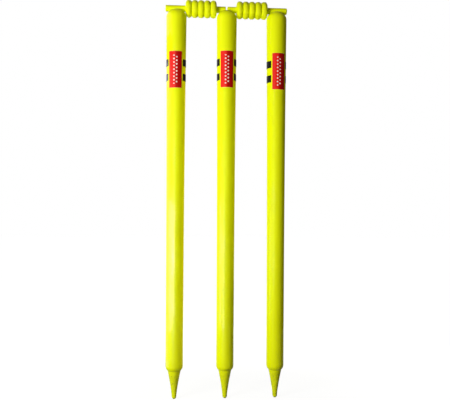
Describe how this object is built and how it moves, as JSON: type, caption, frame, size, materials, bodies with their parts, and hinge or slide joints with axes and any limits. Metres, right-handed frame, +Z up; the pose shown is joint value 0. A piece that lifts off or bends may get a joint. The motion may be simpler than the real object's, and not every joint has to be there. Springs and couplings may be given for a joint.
{
  "type": "cricket stumps",
  "caption": "Cricket wicket of turned wooden stumps with domed, grooved tops and spiked feet, carrying beaded bails; yellow paint, red labels and black stripes.",
  "frame": {"origin": "on the middle stump's axis at the ground line, where its shaft ends and its spike begins", "axes": "+Z up along the stumps, X along the wicket through the stumps, Y through the wicket with the labels on the -Y side"},
  "size_m": [0.2307, 0.0382, 0.7512],
  "materials": {
    "stump_paint": "glossy fluorescent yellow paint on turned hardwood",
    "bail_paint": "glossy fluorescent yellow paint on turned hardwood",
    "label_film": "red printed film with small plain white dots",
    "stripe_film": "black film"
  },
  "bodies": {
    "middle_stump": {"middle_stump": "stump_paint", "middle_label": "label_film", "middle_stripe_upper_left": "stripe_film", "middle_stripe_upper_right": "stripe_film", "middle_stripe_lower_left": "stripe_film", "middle_stripe_lower_right": "stripe_film"},
    "left_stump": {"left_stump": "stump_paint", "left_label": "label_film", "left_stripe_upper_left": "stripe_film", "left_stripe_upper_right": "stripe_film", "left_stripe_lower_left": "stripe_film", "left_stripe_lower_right": "stripe_film"},
    "right_stump": {"right_stump": "stump_paint", "right_label": "label_film", "right_stripe_upper_left": "stripe_film", "right_stripe_upper_right": "stripe_film", "right_stripe_lower_left": "stripe_film", "right_stripe_lower_right": "stripe_film"},
    "left_bail": {"left_bail": "bail_paint"},
    "right_bail": {"right_bail": "bail_paint"}
  },
  "joints": [
    {"name": "left_stump_pull", "type": "slide", "parent": "middle_stump", "child": "left_stump", "axis": [0, 0, 1], "range_m": [0, 0.056]},
    {"name": "right_stump_pull", "type": "slide", "parent": "middle_stump", "child": "right_stump", "axis": [0, 0, 1], "range_m": [0, 0.056]},
    {"name": "left_bail_lift", "type": "slide", "parent": "left_stump", "child": "left_bail", "axis": [0, 0, 1], "range_m": [0, 0.06]},
    {"name": "right_bail_lift", "type": "slide", "parent": "right_stump", "child": "right_bail", "axis": [0, 0, 1], "range_m": [0, 0.06]}
  ]
}
